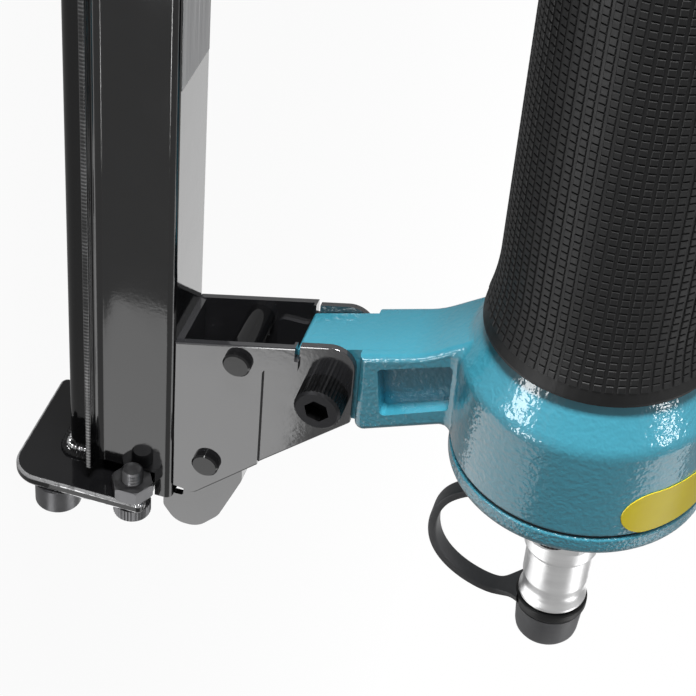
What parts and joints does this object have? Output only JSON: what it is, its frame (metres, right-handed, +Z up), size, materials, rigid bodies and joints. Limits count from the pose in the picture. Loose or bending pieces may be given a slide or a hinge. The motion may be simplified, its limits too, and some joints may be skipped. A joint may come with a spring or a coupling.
{
  "type": "pneumatic stapler",
  "caption": "Compressed-air upholstery stapler with a driver head, rubber-gripped handle, trigger, rear air plug and a slim magazine with a latched sliding tray.",
  "frame": {"origin": "middle of the staple outlet at the nose tip, on the surface that the tool stands on", "axes": "+X forward from the handle to the head, +Y to the tool's left, +Z up"},
  "size_m": [0.2355, 0.0452, 0.1561],
  "materials": {
    "blue_enamel": "gloss enamel",
    "black_enamel": "gloss enamel",
    "black_rubber": "matte",
    "plated_steel": "plated",
    "bare_steel": "ground",
    "black_oxide_steel": "black oxide",
    "spring_steel": "bright",
    "brass": "turned",
    "aluminium": "machined",
    "trigger_plastic": "satin",
    "yellow_vinyl": "gloss",
    "label_foil": "satin"
  },
  "bodies": {
    "frame": {"body_casting": "blue_enamel", "end_cap": "blue_enamel", "top_cap": "blue_enamel", "magazine_channel": "black_enamel", "magazine_bracket": "black_enamel", "grip_sleeve": "black_rubber", "end_cap_gasket": "black_rubber", "dust_cap_strap": "black_rubber", "bumper": "black_rubber", "cap_gasket": "black_rubber", "air_plug": "plated_steel", "front_bracket_pin": "plated_steel", "latch_pin": "plated_steel", "nose_block": "bare_steel", "front_plate": "bare_steel", "trigger_pin": "bare_steel", "end_cap_screws": "black_oxide_steel", "bracket_screw": "black_oxide_steel", "bracket_nut": "black_oxide_steel", "top_cap_screws": "black_oxide_steel", "deflector_screw": "black_oxide_steel", "nose_screws": "black_oxide_steel", "front_plate_screws": "black_oxide_steel", "latch_spring": "spring_steel", "head_valve_spring": "spring_steel", "stem_spring": "spring_steel", "valve_bushing": "brass", "valve_plug": "brass", "cylinder_sleeve": "aluminium", "handle_sticker": "yellow_vinyl", "magazine_label": "label_foil"},
    "drive": {"piston": "aluminium", "piston_ring": "black_rubber", "driver_blade": "bare_steel"},
    "head_valve": {"head_valve": "aluminium", "head_valve_seal": "black_rubber"},
    "tray": {"tray_rail": "black_enamel", "tray_nose": "bare_steel", "tray_nose_pin": "bare_steel", "tail_plate": "black_enamel", "tail_bolt": "plated_steel", "tail_nut": "plated_steel", "tail_stop_screw": "plated_steel", "pusher_spring": "spring_steel"},
    "pusher": {"pusher": "bare_steel"},
    "latch": {"latch_lever": "black_enamel"},
    "dust_cap": {"dust_cap": "black_rubber"},
    "deflector": {"exhaust_deflector": "black_enamel"},
    "trigger": {"trigger": "trigger_plastic"},
    "valve_stem": {"valve_stem": "brass", "stem_ring": "black_rubber"}
  },
  "joints": [
    {"name": "driver_slide", "type": "slide", "parent": "frame", "child": "drive", "axis": [0, 0, -1], "range_m": [0, 0.029]},
    {"name": "head_valve_lift", "type": "slide", "parent": "frame", "child": "head_valve", "axis": [0, 0, 1], "range_m": [0, 0.003], "stiffness_N_per_m": 500, "springref_m": -0.01, "deforming": ["head_valve_spring"]},
    {"name": "tray_slide", "type": "slide", "parent": "frame", "child": "tray", "axis": [-1, 0, 0], "range_m": [0, 0.115]},
    {"name": "pusher_slide", "type": "slide", "parent": "tray", "child": "pusher", "axis": [-1, 0, 0], "range_m": [0, 0.095], "stiffness_N_per_m": 20, "springref_m": -0.1, "deforming": ["pusher_spring"]},
    {"name": "latch_pivot", "type": "hinge", "parent": "frame", "child": "latch", "pos_m": [-0.1868, 0, 0.0365], "axis": [0, 1, 0], "range_deg": [0, 12], "stiffness_Nm_per_rad": 0.2, "springref_deg": -17.19},
    {"name": "dust_cap_pull", "type": "slide", "parent": "frame", "child": "dust_cap", "axis": [-1, 0, 0], "range_m": [0, 0.012], "deforming": ["dust_cap_strap"]},
    {"name": "deflector_turn", "type": "hinge", "parent": "frame", "child": "deflector", "pos_m": [0, 0, 0.15], "axis": [0, 0, 1], "continuous": true},
    {"name": "trigger_pivot", "type": "hinge", "parent": "frame", "child": "trigger", "pos_m": [-0.028, 0, 0.076], "axis": [0, 1, 0], "range_deg": [0, 9], "stiffness_Nm_per_rad": 0.3, "springref_deg": -8.59},
    {"name": "valve_stem_lift", "type": "slide", "parent": "frame", "child": "valve_stem", "axis": [0, 0, 1], "range_m": [0, 0.0022], "deforming": ["stem_spring"]}
  ],
  "couplings": [
    {"joint": "valve_stem_lift", "follows": "trigger_pivot", "m_per_rad": 0.014}
  ]
}
